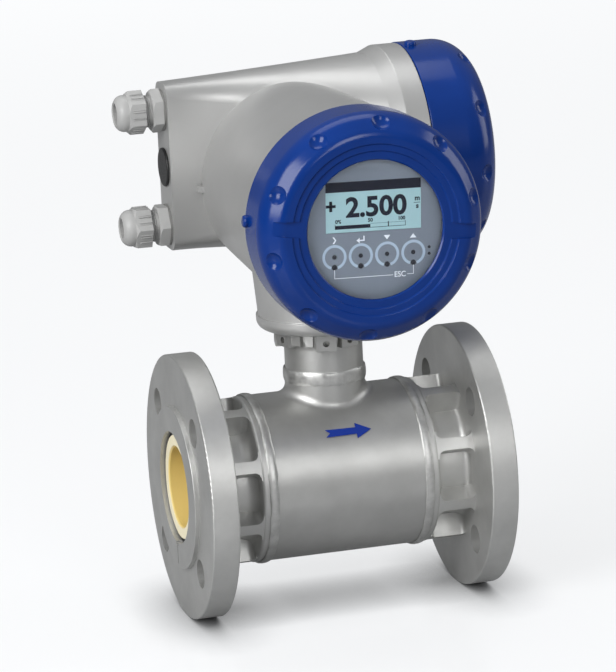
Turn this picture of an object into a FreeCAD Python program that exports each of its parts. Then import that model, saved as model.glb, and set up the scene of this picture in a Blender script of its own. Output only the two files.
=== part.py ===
"""Electromagnetic flow meter: a flanged measuring sensor with a compact converter on its neck.

The origin is the middle of the measuring tube's axis. +X is the flow direction, -Y is the
side of the display, and +Z is up. All sizes are in millimetres.
"""
import FreeCAD, Part
import math
import os

# ---------------------------------------------------------------- driving dimensions

# Pipe connection
face_to_face = 200.0
flange_r = 82.5
flange_plate = 17.0
raised_face = 3.0
raised_face_r = 51.0
bolt_circle_r = 62.5
bolt_hole_r = 9.0
bolt_count = 4
edge_break = 1.0
fine_edge = 0.4
overlap = 1.0
drain_slit = 1.2

# Measuring tube
bore_r = 25.0
tube_wall = 7.5
tube_inset = 2.7
tube_chamfer = 1.0
tube_clearance = 0.5
tube_seal_width = 2.5
tube_seal_depth = 3.3

# Sensor housing and the hub behind each flange
hub_length = 27.5
hub_plate = 4.5
hub_neck_r = 37.5
hub_fillet = 7.0
hub_root_fillet = 5.0
rib_count = 8
rib_width = 7.5
rib_flare = 4.0
rib_drop = 0.5
housing_r = 52.0
housing_wall = 3.0
bead_width = 5.5
bead_height = 0.6

# Coils, pole shoes, yoke and electrodes
coil_bore_r = 8.0
coil_r = 14.0
coil_gap = 0.3
shoe_height = 3.5
shoe_length = 44.0
shoe_width = 34.0
yoke_length = 40.0
yoke_wall = 1.6
yoke_gap = 1.4
electrode_r = 1.5
electrode_head_r = 5.0
electrode_head = 3.0
electrode_seat = 0.7
electrode_edge = 0.5
lead_r = 3.0
fit_gap = 0.1

# Neck
neck_r = 24.4
neck_wall = 3.5
collar_rise = 8.0
collar_growth = 0.6
collar_fillet = 6.0
neck_bead_height = 7.0
neck_bead_growth = 1.2
neck_flare = 1.4
neck_gasket = 1.0
lug_drop = 10.0
lug_reach = 5.6
lug_hole_r = 2.0
lug_edge = 0.6

# Lugs in each quarter of the neck: turn, width, how much shorter and how much shallower, hole
neck_lugs = (
    (-12.0, 12.5, 0.0, 0.0, True),
    (18.0, 11.9, 0.0, 1.5, True),
    (-34.0, 5.0, 2.2, 2.2, False),
    (-54.0, 8.6, 2.0, 2.4, False),
)

# Converter housing, placed from the sensor's axis
foot_z = 93.0
foot_r = 40.8
foot_round = 6.0
foot_ledge = 9.0
foot_groove = 1.2
foot_growth = 1.4
foot_taper = 32.0
foot_share = 0.6
display_rise = 81.75
display_reach = 84.0
terminal_rise = 92.9
terminal_setback = 60.0
terminal_reach = 75.0
entry_reach = 80.0
casting_wall = 5.0
barrel_taper = 7.5
barrel_root_rise = 5.25
barrel_root_back = 48.0
fold_drop = 4.0
fold_edge = 0.3
cast_lug_width = 10.0
cast_lug_depth = 6.0
cast_lug_height = 4.0
entry_face_front = 45.0
entry_face_back = 75.0
entry_face_bottom = 45.0
entry_face_height = 105.0
entry_corner_r = 9.0
entry_corner_share = 0.8
casting_front_r = 21.0
casting_back_r = 28.0
casting_middle_lead = 8.0
casting_front_swell = 1.0
casting_back_reach = 40.0
casting_bottom_swell = 5.0
casting_top_swell = 1.5
collar_width = 14.0
shoulder_width = 9.0
passage_r = 14.0
partition = 10.0

# Covers
cover_r = 68.8
cover_overhang = 2.8
cover_wall = 4.8
cover_seam = 0.4
spigot_wall = 4.0
spigot_length = 14.0
thread_gap = 0.3
cover_seal_width = 2.3
cover_seal_depth = 1.95
front_cover_wall = 31.4
front_cover_depth = 41.0
front_bevel = 10.8
front_cover_round = 14.0
front_face_round = 8.0
cover_edge = 0.8
bezel_ring = 4.6
bezel_ring_foot = 3.8
bore_lead = 7.0
terminal_cover_depth = 44.8
terminal_cover_round = 22.0
terminal_cover_wall = 4.0
dimple_count = 10
dimple_r = 5.75
dimple_depth = 2.5
front_dimple_turn = 12.0
terminal_dimple_turn = 6.5
terminal_dimple_lean = 33.0
notch_turn = 6.0
notch_width = 7.2
notch_root_width = 10.0
pip_r = 3.75
pip_height = 2.8
pip_round = 1.5
notch_round = 12.0
front_pip_turn = 5.0
terminal_pip_turn = 8.0

# Window and display
window_share = 0.6032
window_lip = 2.0
window_seal = 0.4
window_glass = 3.2
window_rim = 5.3
gasket_inset = 0.6
bezel_step = 1.0
retainer_width = 5.2
retainer_depth = 2.9
retainer_room = 1.5
display_tilt = 2.0
panel_r = 45.2
panel_thickness = 1.5
panel_gap = 0.5
screen_width = 58.3
screen_height = 30.0
screen_side = 0.45
screen_rise = 13.5
screen_recess = 0.4
screen_rim = 1.0
screen_depth = 5.0
key_count = 4
key_pitch = 16.13
key_side = 0.4
key_rise = -15.8
key_lens_r = 1.3
sensor_lens_r = 1.6
sensor_lens_drop = 6.15
light_r = 0.9
light_side = 34.45
light_rise = -13.3
light_pitch = 3.9
board_thickness = 1.6
tray_depth = 17.0
tray_wall = 2.2
tray_floor = 2.0
tray_ledge = 2.0

# Electronics behind the display
pillar_r = 3.0
pillar_offset = 26.0
frame_plate = 3.0
frame_plate_lift = 4.0
board_share = 0.6
main_board_y = -48.0
power_board_y = 0.0
screw_head_r = 3.0
screw_head = 2.4
screw_edge = 0.6

# Terminals
terminal_block_width = 26.0
terminal_block_height = 72.0
terminal_block_depth = 14.0
terminal_count = 8
terminal_screw_r = 2.6
terminal_floor_gap = 13.0
terminal_setoff = 5.0
terminal_step = 14.0
terminal_step_slope = 2.0
terminal_low_share = 0.6
terminal_well = 6.0
terminal_head = 3.0
terminal_slot = 0.8
terminal_slot_depth = 1.0
wire_mouth_width = 5.0
wire_mouth_height = 4.4
wire_mouth_depth = 5.0
wire_mouth_edge = 2.0

# Cable entries on the converter's inlet side
entry_r = 10.0
upper_entry_rise = 133.0
plug_rise = 97.0
lower_entry_rise = 60.5
entry_spigot = 9.0
gland_flats = 24.0
washer_r = 13.0
washer_thickness = 1.5
gland_hex = 6.5
gland_thread_r = 9.4
gland_thread = 12.0
gland_bore_r = 6.2
gland_nut_gap = 4.6
gland_nut = 18.0
gland_nut_flange = 9.5
gland_nut_round = 6.0
gland_mouth_r = 6.5
gland_seal_r = 7.5
gland_seal_bore_r = 5.0
gland_seal = 8.0
gland_corner_share = 1.15
gland_bevel = 1.5
gland_mouth_cone = 2.5
plug_r = 12.2
plug_head = 1.3
plug_round_share = 0.7
plug_gasket_inset = 0.4

# ---------------------------------------------------------------- directions and places

ORIGIN = FreeCAD.Vector(0, 0, 0)
X = FreeCAD.Vector(1, 0, 0)
Y = FreeCAD.Vector(0, 1, 0)
Z = FreeCAD.Vector(0, 0, 1)
FRONT = FreeCAD.Vector(0, -1, 0)
OUT = FreeCAD.Vector(-1, 0, 0)

flange_face = face_to_face / 2
flange_back = flange_face - raised_face - flange_plate
housing_end = flange_back - hub_length
hub_plate_face = housing_end + hub_plate
tube_r = bore_r + tube_wall
tube_end = flange_face - tube_inset
tube_hole_r = tube_r + tube_clearance
tube_seal_r = tube_r + tube_seal_width
tube_seal_back = tube_end - tube_seal_depth

collar_height = housing_r + collar_rise
yoke_inner_r = housing_r - housing_wall - yoke_gap - yoke_wall
coil_start = tube_r + shoe_height + fit_gap
coil_end = math.sqrt((yoke_inner_r - coil_gap) ** 2 - coil_r ** 2)

barrel_r = cover_r - cover_overhang
barrel_root_r = barrel_r - barrel_taper
spigot_r = cover_r - cover_wall
spigot_bore_r = spigot_r - spigot_wall
collar_r = cover_r - cover_seam
shoulder_r = spigot_r + cover_seam
front_face_r = cover_r - front_bevel
window_r = cover_r * window_share
board_half_width = spigot_bore_r * board_share
board_half_height = board_half_width - board_thickness
frame_plate_r = barrel_root_r - 3 * spigot_wall
nut_start = washer_thickness + gland_hex + gland_nut_gap
seal_start = washer_thickness + gland_hex + gland_thread - gland_seal + 2 * thread_gap

display_z = foot_z + display_rise
terminal_z = foot_z + terminal_rise
display_axis = FreeCAD.Vector(0, 0, display_z)
terminal_axis = FreeCAD.Vector(0, terminal_setback, terminal_z)
spigot_shoulder = display_reach + cover_seam * 4
front_cover_back = spigot_shoulder + cover_seam
bezel_face = front_cover_back + front_cover_depth
terminal_cover_back = terminal_reach + cover_seam
terminal_cover_end = terminal_cover_back + terminal_cover_depth
cover_bore_r = spigot_r + thread_gap
cover_thread_depth = spigot_length + cover_seam * 2

window_seat = bezel_face - 2 * bezel_step - window_lip
glass_front = window_seat - window_seal
glass_back = glass_front - window_glass
panel_front = glass_back - panel_gap
panel_back = panel_front - panel_thickness
screen_back = panel_back - screen_depth
board_back = screen_back - board_thickness
tray_back = panel_back - tray_depth
partition_front = barrel_root_back - casting_wall - partition / 2
partition_back = partition_front + partition
terminal_floor = terminal_reach - terminal_floor_gap


# ---------------------------------------------------------------- shape helpers

def corner_arc(before, corner, after, radius):
    """Start, middle and end of the arc that rounds one corner of an outline."""
    if not radius:
        return corner, None, corner
    back = (before - corner).normalize()
    ahead = (after - corner).normalize()
    half = back.getAngle(ahead) / 2
    reach = radius / math.tan(half)
    inward = (back + ahead).normalize()
    middle = corner + inward * (radius / math.sin(half) - radius)
    return corner + back * reach, middle, corner + ahead * reach


def face(corners, origin, across, along):
    """Flat face. A corner is (across, along), with a rounding radius as a third value."""
    spots = [origin + across * c[0] + along * c[1] for c in corners]
    radii = [c[2] if len(c) > 2 else 0 for c in corners]
    arcs = []
    for i, spot in enumerate(spots):
        arcs.append(corner_arc(spots[i - 1], spot, spots[(i + 1) % len(spots)], radii[i]))
    edges = []
    for i, (start, middle, end) in enumerate(arcs):
        last = arcs[i - 1][2]
        if last.distanceToPoint(start) > 1e-6:
            edges.append(Part.LineSegment(last, start).toShape())
        if middle:
            edges.append(Part.Arc(start, middle, end).toShape())
    return Part.Face(Part.Wire(edges))


def solid_of(shape):
    """The one solid of a shape, its skin facing outward."""
    solid = shape.Solids[0]
    return solid if solid.Volume > 0 else solid.reversed()


def turned(corners, axis, at=ORIGIN):
    """Solid of revolution. A corner is (radius, distance along the axis, rounding)."""
    side = X if abs(axis.z) > 0.5 else Z
    return solid_of(face(corners, at, side, axis).revolve(at, axis, 360))


def ring(inner_r, outer_r, start, end, axis, at=ORIGIN):
    """Plain ring between two distances along its axis."""
    return turned([(inner_r, start), (outer_r, start), (outer_r, end), (inner_r, end)], axis, at)


def rod(radius, start, end, axis, at=ORIGIN):
    """Plain cylinder between two distances along its axis."""
    return Part.makeCylinder(radius, end - start, at + axis * start, axis)


def block(x, y, z):
    """Box between the two values of each of its three ranges."""
    size = [b - a for a, b in (x, y, z)]
    return Part.makeBox(size[0], size[1], size[2], FreeCAD.Vector(x[0], y[0], z[0]))


def hexagon(flats, start, end, axis, at, turn=0.0):
    """Hexagonal prism between two distances along its axis."""
    corner_r = flats / 2 / math.cos(math.radians(30))
    corners = []
    for k in range(6):
        angle = math.radians(turn + 60 * k)
        corners.append((corner_r * math.cos(angle), corner_r * math.sin(angle)))
    across = Y if abs(axis.x) > 0.5 else X
    along = Z
    outline = face(corners, at + axis * start, across, along)
    return solid_of(outline.extrude(axis * (end - start)))


def around(shape, count, axis, at=ORIGIN, first=0.0):
    """Copies of a shape, evenly spaced about an axis."""
    copies = []
    for k in range(count):
        copy = shape.copy()
        copy.rotate(at, axis, first + 360.0 / count * k)
        copies.append(copy)
    return copies


def joined(shapes):
    """One solid out of several that touch or overlap."""
    return solid_of(shapes[0].multiFuse(shapes[1:]).removeSplitter())


def without(shape, tools):
    """The shape with every tool cut out of it."""
    return solid_of(shape.cut(Part.makeCompound(tools)))


# ---------------------------------------------------------------- flanges

def rib():
    """Hub rib: a web that flares into the end plate and into the flange."""
    half = rib_width / 2
    wide = half + rib_flare + 1
    start = hub_plate_face
    end = flange_back
    inside = hub_plate / 2
    corners = [
        (-wide, start), (-half, start, rib_flare), (-half, end, rib_flare), (-wide, end),
        (-wide, end + inside), (wide, end + inside),
        (wide, end), (half, end, rib_flare), (half, start, rib_flare), (wide, start),
        (wide, start - inside), (-wide, start - inside),
    ]
    foot = hub_neck_r - rib_flare
    web = solid_of(face(corners, Z * foot, Y, X).extrude(Z * housing_r))
    return solid_of(web.common(rod(housing_r - rib_drop, housing_end, flange_face, X)))


def flange():
    """Outlet flange with its ribbed hub, turned from one profile."""
    body = turned([
        (tube_hole_r, housing_end),
        (housing_r, housing_end),
        (housing_r, hub_plate_face, hub_plate / 2),
        (hub_neck_r, hub_plate_face, hub_fillet),
        (hub_neck_r, flange_back, hub_root_fillet),
        (flange_r, flange_back, edge_break),
        (flange_r, flange_face - raised_face, edge_break),
        (raised_face_r, flange_face - raised_face),
        (raised_face_r, flange_face, edge_break / 2),
        (tube_seal_r, flange_face),
        (tube_seal_r, tube_seal_back),
        (tube_hole_r, tube_seal_back),
    ], X)
    ribs = around(rib(), rib_count, X, first=180.0 / rib_count)
    hole = rod(bolt_hole_r, flange_back - hub_root_fillet, flange_face, X, Z * bolt_circle_r)
    holes = around(hole, bolt_count, X, first=180.0 / bolt_count)
    slit_x = (flange_face - raised_face, flange_face + raised_face)
    slit = block(slit_x, (-drain_slit / 2, drain_slit / 2), (2 - raised_face_r, -tube_r))
    pocket = block(slit_x, (-2 * drain_slit, 2 * drain_slit), (-tube_seal_r - 2, -tube_r))
    return without(joined([body] + ribs), holes + [slit, pocket])


def inlet_flange():
    """The same flange, turned to face the other way."""
    shape = flange()
    shape.rotate(ORIGIN, Z, 180)
    return shape


# ---------------------------------------------------------------- sensor

def measuring_tube():
    """Ceramic tube with a broken inner edge at both ends and a hole for each electrode."""
    tube = turned([
        (bore_r, -tube_end + tube_chamfer), (bore_r + tube_chamfer, -tube_end),
        (tube_r, -tube_end, tube_chamfer / 2), (tube_r, tube_end, tube_chamfer / 2),
        (bore_r + tube_chamfer, tube_end), (bore_r, tube_end - tube_chamfer),
    ], X)
    return without(tube, [rod(electrode_r + fit_gap, -2 * tube_r, 2 * tube_r, Y)])


def tube_seal():
    """Gasket in the recess between the tube's end and the outlet flange."""
    return ring(tube_r, tube_seal_r, tube_seal_back, tube_end - tube_chamfer, X)


def weld_bead(start):
    """Low rounded bead around the housing."""
    root = housing_r - housing_wall / 2
    crest = housing_r + bead_height
    return turned([
        (root, start), (housing_r, start), (crest, start + bead_width / 4, bead_height),
        (crest, start + bead_width * 3 / 4, bead_height), (housing_r, start + bead_width),
        (root, start + bead_width),
    ], X)


def sensor_housing():
    """Welded tube with a collar drawn out of its top for the neck."""
    drum = rod(housing_r, -housing_end, housing_end, X)
    outer = solid_of(drum.fuse(rod(neck_r + collar_growth, 0, collar_height, Z)))
    root = [e for e in outer.Edges
            if collar_height - 1 > e.BoundBox.ZMax and e.BoundBox.XLength < 3 * neck_r
            and e.BoundBox.ZMin > 1]
    outer = solid_of(outer.makeFillet(collar_fillet, root))
    beads = [weld_bead(housing_end - bead_width), weld_bead(-housing_end)]
    inner = rod(housing_r - housing_wall, -housing_end, housing_end, X)
    mouth = rod(neck_r - neck_wall, 0, collar_height, Z)
    return without(joined([outer] + beads), [inner, mouth])


def pole_shoe():
    """Upper pole shoe, hollowed to the tube, with the core that passes through the coil."""
    top = tube_r + shoe_height
    foot = block((-shoe_length / 2, shoe_length / 2), (-shoe_width / 2, shoe_width / 2),
                 (bore_r, top))
    core = rod(coil_bore_r - fit_gap, tube_r, housing_r, Z)
    yoke_inner = rod(yoke_inner_r - fit_gap, -shoe_length, shoe_length, X)
    whole = solid_of(joined([foot, core]).common(yoke_inner))
    return without(whole, [rod(tube_r + fit_gap, -shoe_length, shoe_length, X)])


def coil():
    """Upper field coil around the pole shoe's core."""
    edge = (coil_end - coil_start) / 4
    return turned([
        (coil_bore_r, coil_start), (coil_r, coil_start, edge), (coil_r, coil_end, edge),
        (coil_bore_r, coil_end),
    ], Z)


def coil_yoke():
    """Steel band that closes the magnetic circuit around both coils."""
    half = yoke_length / 2
    band = ring(yoke_inner_r, yoke_inner_r + yoke_wall, -half, half, X)
    windows = [rod(electrode_head_r, -housing_r, housing_r, Y)]
    return without(band, windows)


def electrode():
    """Back electrode: a pin through the tube's wall with a sealing head outside."""
    seat = tube_r + electrode_seat
    head_end = tube_r - fit_gap + electrode_head
    tail_end = head_end + 2 * electrode_head
    return turned([
        (0, bore_r), (electrode_r, bore_r, fine_edge), (electrode_r, seat),
        (electrode_head_r, seat, electrode_edge), (electrode_head_r, head_end, electrode_edge),
        (electrode_r, head_end), (electrode_r, tail_end), (0, tail_end),
    ], Y)


def sensor_leads():
    """Lead bundle from the coils up the neck to the power board."""
    top = display_z - board_half_height - fit_gap
    at = FRONT * (board_thickness / 2 - power_board_y)
    return rod(lead_r, yoke_inner_r + yoke_wall, top, Z, at)


# ---------------------------------------------------------------- neck

def lug(angle, width, reach, drop, hole):
    """Block on the neck under the foot, at an angle from the front, with a tool hole or none."""
    top = foot_z - neck_gasket
    piece = solid_of(face([
        (neck_r - neck_wall / 2, top - drop), (neck_r + reach, top - drop, lug_edge),
        (neck_r + reach, top), (neck_r - neck_wall / 2, top),
    ], X * (-width / 2), FRONT, Z).extrude(X * width))
    if hole:
        bore = rod(lug_hole_r, neck_r, 2 * neck_r, FRONT, Z * (top - drop / 2))
        piece = without(piece, [bore])
    piece.rotate(ORIGIN, Z, angle)
    return piece


def neck_tube():
    """Neck stub with its weld bead, a slightly flared top and the lugs that hold the foot."""
    inner = neck_r - neck_wall
    top = foot_z - neck_gasket
    bead_r = neck_r + neck_bead_growth
    bead_top = collar_height + neck_bead_height
    stub = turned([
        (inner, collar_height), (bead_r, collar_height, edge_break / 2),
        (bead_r, bead_top - edge_break, 2 * edge_break), (neck_r, bead_top, 2 * edge_break),
        (neck_r, top - lug_drop, 8 * edge_break),
        (neck_r + neck_flare, top - lug_drop / 2, 3 * edge_break),
        (neck_r + neck_flare, top), (inner, top),
    ], Z)
    lugs = []
    for quarter in range(4):
        for turn, width, shorter, shallower, hole in neck_lugs:
            lugs.append(lug(90.0 * quarter + turn, width, lug_reach - shorter,
                            lug_drop - shallower, hole))
    return joined([stub] + lugs)


def neck_gasket_ring():
    """Flat gasket between the neck and the converter's foot."""
    return ring(neck_r - neck_wall, neck_r + neck_flare, foot_z - neck_gasket, foot_z, Z)


# ---------------------------------------------------------------- converter housing

def casting_section(x, front, back, bottom, top, front_r, back_r):
    """Rounded rectangle across the terminal casting at one x."""
    corners = [(front, bottom, front_r), (back, bottom, back_r),
               (back, top, back_r), (front, top, front_r)]
    return face(corners, X * x, Y, Z).OuterWire


def terminal_casting(inset):
    """Casting that grows from the flat cable entry face to the round terminal collar."""
    bottom = foot_z + entry_face_bottom
    top = bottom + entry_face_height
    round_x = terminal_reach - collar_width - shoulder_width
    middle_x = (round_x - entry_reach) / 2 - casting_middle_lead
    round_r = shoulder_r - inset
    edge = edge_break / 2
    inner_corner_r = entry_corner_r - inset * entry_corner_share
    sections = [
        casting_section(-entry_reach, entry_face_front + inset, entry_face_back - inset,
                        bottom + inset, top - inset, inner_corner_r, inner_corner_r),
        casting_section(middle_x, entry_face_front - casting_front_swell + inset,
                        terminal_setback + casting_back_reach - inset,
                        bottom - casting_bottom_swell + inset, top + casting_top_swell - inset,
                        casting_front_r - inset, casting_back_r - inset),
        casting_section(round_x, terminal_setback - round_r, terminal_setback + round_r,
                        terminal_z - round_r, terminal_z + round_r, round_r - edge,
                        round_r - edge),
    ]
    return solid_of(Part.makeLoft(sections, True, False))


def terminal_collar():
    """Shoulder and collar that carry the terminal cover, with its threaded spigot."""
    root = terminal_reach - collar_width - shoulder_width
    rim = terminal_reach - collar_width
    return turned([
        (0, root), (shoulder_r, root), (collar_r, rim, 2),
        (collar_r, terminal_reach, edge_break / 2), (spigot_r, terminal_reach),
        (spigot_r, terminal_reach + spigot_length, edge_break), (0, terminal_reach + spigot_length),
    ], X, terminal_axis)


def barrel(root_drop, inset, front, back):
    """Tapered barrel behind the display, leaning up to its root in the terminal casting."""
    slope = (barrel_r - barrel_root_r - root_drop / 2) / (display_reach + barrel_root_back)
    lean = (barrel_root_rise - root_drop) / (display_reach + barrel_root_back)
    rings = []
    for reach in (front, back):
        run = display_reach - reach
        centre = FreeCAD.Vector(0, -reach, display_z + lean * run)
        rings.append(Part.Wire(Part.makeCircle(barrel_r - slope * run - inset, centre, Y)))
    return solid_of(Part.makeLoft(rings, True, True))


def foot():
    """Round foot on the neck, with a ledge line and a rounded lower edge."""
    ledge = foot_z + foot_ledge
    top = foot_z + display_rise * foot_share
    return turned([
        (0, foot_z), (foot_r, foot_z, foot_round), (foot_r, ledge, fine_edge),
        (foot_r - foot_groove, ledge, fine_edge), (foot_r + foot_growth, ledge + foot_taper),
        (foot_r + foot_growth, top), (0, top),
    ], Z)


def entry_place(rise):
    """Middle of a cable entry on the flat entry face."""
    return FreeCAD.Vector(-entry_reach, (entry_face_front + entry_face_back) / 2, foot_z + rise)


def converter_housing():
    """Two-chamber casting: electronics behind the display, terminals behind the side cover."""
    spigot = rod(spigot_r, display_reach - overlap, spigot_shoulder + spigot_length, FRONT,
                 display_axis)
    shoulder = rod(barrel_r + cover_seam, display_reach - 2 * overlap, spigot_shoulder, FRONT,
                   display_axis)
    root = -barrel_root_back - 3 * overlap
    half = cast_lug_width / 2
    cast_lug = block((-barrel_root_r - half, -barrel_root_r + half),
                     (barrel_root_back - cast_lug_depth, barrel_root_back),
                     (display_z, display_z + cast_lug_height))
    outside = joined([
        terminal_casting(0), terminal_collar(), barrel(0, 0, display_reach, root),
        barrel(fold_drop, fold_edge, display_reach - 3 * overlap, root), foot(), spigot,
        shoulder, cast_lug,
    ])
    mouth = rod(spigot_bore_r, display_reach, bezel_face, FRONT, display_axis)
    chamber = barrel(0, barrel_r - spigot_bore_r, display_reach, -partition_front)
    terminal_bore = rod(spigot_bore_r, terminal_floor, terminal_cover_end, X, terminal_axis)
    keep = block((casting_wall - entry_reach, terminal_floor + overlap),
                 (partition_back, 4 * terminal_setback), (0, 2 * terminal_z))
    way_in = rod(spigot_bore_r, terminal_reach - collar_width - shoulder_width - overlap,
                 terminal_floor + overlap, X, terminal_axis)
    cable_room = solid_of(joined([terminal_casting(casting_wall), way_in]).common(keep))
    tools = [mouth, chamber, terminal_bore, cable_room,
             rod(passage_r, foot_z, foot_z + display_rise / 2, Z)]
    for rise in (upper_entry_rise, plug_rise, lower_entry_rise):
        tools.append(rod(entry_r, -casting_wall * 2, casting_wall, OUT, entry_place(rise)))
    return without(outside, tools)


# ---------------------------------------------------------------- covers

def seal_groove(back):
    """Corners of the groove for a cover seal, from the cover's back edge inward."""
    start = back + 2 * cover_seam
    end = start + cover_seal_width + 2 * thread_gap
    outer = cover_bore_r + cover_seal_depth + 2 * thread_gap
    return [(cover_bore_r, end), (outer, end), (outer, start), (cover_bore_r, start)]


def cover_seal(back, axis, at):
    """Sealing ring that rides in the cover's groove, just clear of the spigot."""
    start = back + 2 * cover_seam + thread_gap
    inner = cover_bore_r + thread_gap
    return ring(inner, inner + cover_seal_depth, start, start + cover_seal_width, axis, at)


def dimples(reach, height, lean, axis, at, side, turn):
    """Round grip dimples: balls set into a cover's shoulder, evenly spaced about its axis."""
    ball_r = (dimple_r ** 2 + dimple_depth ** 2) / (2 * dimple_depth)
    off = ball_r - dimple_depth
    spot = at + side * (reach + off * math.cos(lean)) + axis * (height + off * math.sin(lean))
    return around(Part.makeSphere(ball_r, spot), dimple_count, axis, at, turn)


def pip(reach, axis, at, side, turn):
    """Small round boss that stands out of a cover's side near its back edge."""
    root = cover_r - 2 * overlap
    crown = cover_r + pip_height
    boss = turned([(0, root), (pip_r, root), (pip_r, crown, pip_round), (0, crown)],
                  side, at + axis * reach)
    boss.rotate(at, axis, turn)
    return boss


def notches():
    """Two tool slots across the front cover's face, tapering outward."""
    inner = window_r + window_rim - 2 * bezel_step
    outer = cover_r + 4 * overlap
    above = bezel_face + overlap
    floor = bezel_face - 2 * bezel_step
    depth_line = [
        (inner, above), (inner, floor), (front_face_r - bezel_step, floor, notch_round),
        (outer, floor - front_bevel / 2), (outer, above),
    ]
    half = notch_root_width
    side = face(depth_line, display_axis + Z * half, X, FRONT).extrude(Z * (-2 * half))
    plan = face([
        (inner, -notch_root_width / 2), (outer, -notch_width / 2),
        (outer, notch_width / 2), (inner, notch_root_width / 2),
    ], display_axis, X, Z).extrude(FRONT * (2 * bezel_face))
    return around(solid_of(side.common(plan)), 2, FRONT, display_axis, -notch_turn)


def front_cover():
    """Display cover: a deep cap with a bevelled shoulder and a stepped bezel round the window."""
    shoulder = front_cover_back + front_cover_wall
    rim_r = window_r + window_rim
    inner_end = front_cover_back + cover_thread_depth
    retainer_r = rim_r + retainer_width
    upper = bezel_face - bezel_step
    lower = upper - bezel_step
    body = turned([
        (cover_bore_r, front_cover_back), (cover_r, front_cover_back, cover_edge),
        (cover_r, shoulder, front_cover_round), (front_face_r, bezel_face, front_face_round),
        (rim_r + bezel_ring, bezel_face, fine_edge), (rim_r + bezel_ring_foot, upper),
        (rim_r + fine_edge, upper, fine_edge), (rim_r - fine_edge, lower),
        (window_r + cover_edge, lower), (window_r, lower - cover_edge),
        (window_r, window_seat), (rim_r, window_seat), (rim_r, glass_back),
        (retainer_r, glass_back), (retainer_r, glass_back - retainer_depth - retainer_room),
        (spigot_bore_r, shoulder - bore_lead), (spigot_bore_r, inner_end),
        (cover_bore_r, inner_end),
    ] + seal_groove(front_cover_back), FRONT, display_axis)
    mid_r = (cover_r + front_face_r) / 2
    mid_height = (shoulder + bezel_face) / 2
    lean = math.atan2(cover_r - front_face_r, bezel_face - shoulder)
    cups = dimples(mid_r, mid_height, lean, FRONT, display_axis, X, front_dimple_turn)
    boss = pip(front_cover_back + pip_r + edge_break, FRONT, display_axis, OUT, -front_pip_turn)
    return without(joined([body, boss]), cups + notches())


def terminal_cover():
    """Blind cap over the terminals, with a wide rounded shoulder."""
    end = terminal_cover_end
    inner_end = terminal_cover_back + cover_thread_depth
    inside = end - terminal_cover_wall
    body = turned([
        (cover_bore_r, terminal_cover_back), (cover_r, terminal_cover_back, cover_edge),
        (cover_r, end, terminal_cover_round), (0, end), (0, inside),
        (spigot_bore_r, inside, terminal_cover_round - terminal_cover_wall),
        (spigot_bore_r, inner_end), (cover_bore_r, inner_end),
    ] + seal_groove(terminal_cover_back), X, terminal_axis)
    lean = math.radians(terminal_dimple_lean)
    mid_r = cover_r - terminal_cover_round * (1 - math.cos(lean))
    mid_height = end - terminal_cover_round * (1 - math.sin(lean))
    cups = dimples(mid_r, mid_height, lean, X, terminal_axis, FRONT, terminal_dimple_turn)
    boss = pip(terminal_cover_back + pip_r + edge_break, X, terminal_axis, Z, terminal_pip_turn)
    return without(joined([body, boss]), cups)


# ---------------------------------------------------------------- window and display

def window_glass_disc():
    """Round pane seated in the cover from behind."""
    edge = window_r + window_rim - fit_gap
    return turned([
        (0, glass_back), (edge, glass_back, fine_edge), (edge, glass_front, fine_edge),
        (0, glass_front),
    ], FRONT, display_axis)


def window_gasket():
    """Flat gasket between the pane and the bezel's lip."""
    return ring(window_r + gasket_inset, window_r + window_rim - fit_gap, glass_front,
                window_seat, FRONT, display_axis)


def window_retainer():
    """Threaded ring that holds the pane from behind."""
    outer = window_r + window_rim + retainer_width - fit_gap
    return ring(panel_r + 2 * thread_gap, outer, glass_back - retainer_depth, glass_back,
                FRONT, display_axis)


def on_panel(across, up, depth):
    """Point on the display, from its centre, turned by the display's tilt."""
    tilt = math.radians(display_tilt)
    x = across * math.cos(tilt) + up * math.sin(tilt)
    z = up * math.cos(tilt) - across * math.sin(tilt)
    return FreeCAD.Vector(x, -depth, display_z + z)


def screen_slab(margin, start, end):
    """Rectangular slab on the screen's outline, grown by a margin."""
    half_w = screen_width / 2 + margin
    half_h = screen_height / 2 + margin
    slab = block((screen_side - half_w, screen_side + half_w), (-end, -start),
                 (display_z + screen_rise - half_h, display_z + screen_rise + half_h))
    slab.rotate(display_axis, Y, display_tilt)
    return slab


def key_places():
    """Centres of the four optical keys on the panel."""
    first = key_side - key_pitch * (key_count - 1) / 2
    return [first + key_pitch * k for k in range(key_count)]


def lens_pins(margin, end):
    """Light guides of the keys, from the display board to the panel."""
    pins = []
    for across in key_places():
        at = on_panel(across, key_rise, screen_back)
        pins.append(rod(key_lens_r + margin, 0, end - screen_back, FRONT, at))
        low = on_panel(across, key_rise - sensor_lens_drop, screen_back)
        pins.append(rod(sensor_lens_r + margin, 0, end - screen_back, FRONT, low))
    return pins


def light_pins(margin, end):
    """Status lamps, from the display board to the panel."""
    pins = []
    for k in range(2):
        at = on_panel(light_side, light_rise - light_pitch * k, screen_back)
        pins.append(rod(light_r + margin, 0, end - screen_back, FRONT, at))
    return pins


def display_panel():
    """Round front plate of the display with the screen's opening and the key and lamp holes."""
    plate = turned([
        (0, panel_back), (panel_r, panel_back), (panel_r, panel_front, fine_edge),
        (0, panel_front),
    ], FRONT, display_axis)
    holes = lens_pins(fit_gap, bezel_face) + light_pins(fit_gap, bezel_face)
    return without(plate, holes + [screen_slab(fit_gap, panel_back - overlap, bezel_face)])


def lcd_module():
    """Liquid crystal module, its glass a little behind the panel's face."""
    return joined([screen_slab(0, panel_back, panel_front - screen_recess),
                   screen_slab(screen_rim, screen_back, panel_back)])


def pillar_places(depth):
    """Centres of the four pillars that carry the boards and the display."""
    places = []
    for x in (-pillar_offset, pillar_offset):
        for z in (-pillar_offset, pillar_offset):
            places.append(FreeCAD.Vector(x, -depth, display_z + z))
    return places


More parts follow.
